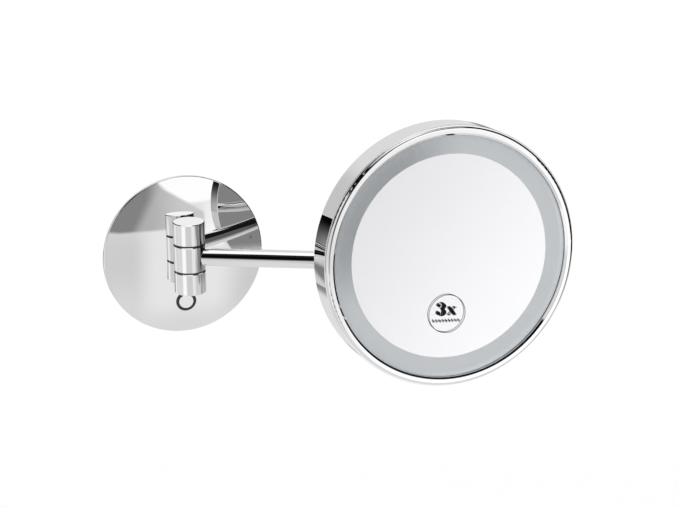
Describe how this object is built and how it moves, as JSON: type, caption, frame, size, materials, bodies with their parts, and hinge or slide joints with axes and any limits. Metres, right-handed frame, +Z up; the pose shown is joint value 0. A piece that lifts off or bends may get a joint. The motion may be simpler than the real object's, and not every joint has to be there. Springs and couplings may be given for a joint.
{
  "type": "extendable shaving mirror",
  "caption": "Round wall-mounted shaving mirror on a swinging arm, with a swivelling, tilting lit head, a domed wall plate and a push button.",
  "frame": {"origin": "centre of the wall plate's back, on the wall", "axes": "+Y into the wall, -Y out of it, +Z up, +X to the right for someone facing the mirror"},
  "size_m": [0.3387, 0.1534, 0.2032],
  "materials": {
    "chrome": "polished chrome plating",
    "steel": "zinc-plated steel",
    "black_plastic": "moulded black",
    "bush_plastic": "natural acetal",
    "rubber": "moulded",
    "cable": "white cable sheath",
    "glass": "clear float glass",
    "silver": "silvered",
    "frosted": "frosted opal",
    "white_plastic": "moulded white",
    "board": "solder mask",
    "led_board": "white solder mask on aluminium",
    "led": "phosphor",
    "parts": "electronic parts"
  },
  "bodies": {
    "wall_mount": {"wall_bracket": "steel", "wall_grommet": "rubber", "cover_plate": "chrome", "upper_knuckle": "chrome", "lower_knuckle": "chrome", "knuckle_screws": "steel", "hinge_pin": "steel", "hinge_plug": "chrome", "hinge_washers": "black_plastic", "button_ring": "black_plastic", "switch_board": "board", "push_switch": "parts"},
    "button": {"push_button": "chrome"},
    "arm": {"arm_knuckle": "chrome", "hinge_bushes": "bush_plastic", "arm_tube": "chrome", "arm_end": "chrome", "arm_cable": "cable", "swivel_bushes": "bush_plastic", "swivel_washers": "black_plastic"},
    "swivel": {"swivel_post": "chrome", "swivel_nut": "chrome"},
    "head": {"tilt_washers": "black_plastic", "tilt_pin": "steel", "head_bracket": "chrome", "bracket_screws": "steel", "head_shell": "chrome", "bezel_ring": "chrome", "bezel_gasket": "black_plastic", "mirror_glass": "glass", "mirror_silvering": "silver", "light_diffuser": "frosted", "mirror_carrier": "white_plastic", "led_board": "led_board", "led_chips": "led", "back_cover": "chrome", "back_screws": "steel", "head_grommet": "rubber", "driver_board": "board", "driver_parts": "parts"}
  },
  "joints": [
    {"name": "button_press", "type": "slide", "parent": "wall_mount", "child": "button", "axis": [0, 0.9964, 0.0853], "range_m": [0, 0.001], "stiffness_N_per_m": 400, "springref_m": -0.002},
    {"name": "arm_swing", "type": "hinge", "parent": "wall_mount", "child": "arm", "pos_m": [0, -0.02202, 0.0045], "axis": [0, 0, -1], "range_deg": [-16, 148]},
    {"name": "head_swivel", "type": "hinge", "parent": "arm", "child": "swivel", "pos_m": [0.17266, -0.09889, 0.0045], "axis": [0, 0, 1], "range_deg": [-20, 152]},
    {"name": "head_tilt", "type": "hinge", "parent": "swivel", "child": "head", "pos_m": [0.17266, -0.09889, 0.02], "axis": [1, 0, 0], "range_deg": [-16, 22]}
  ]
}
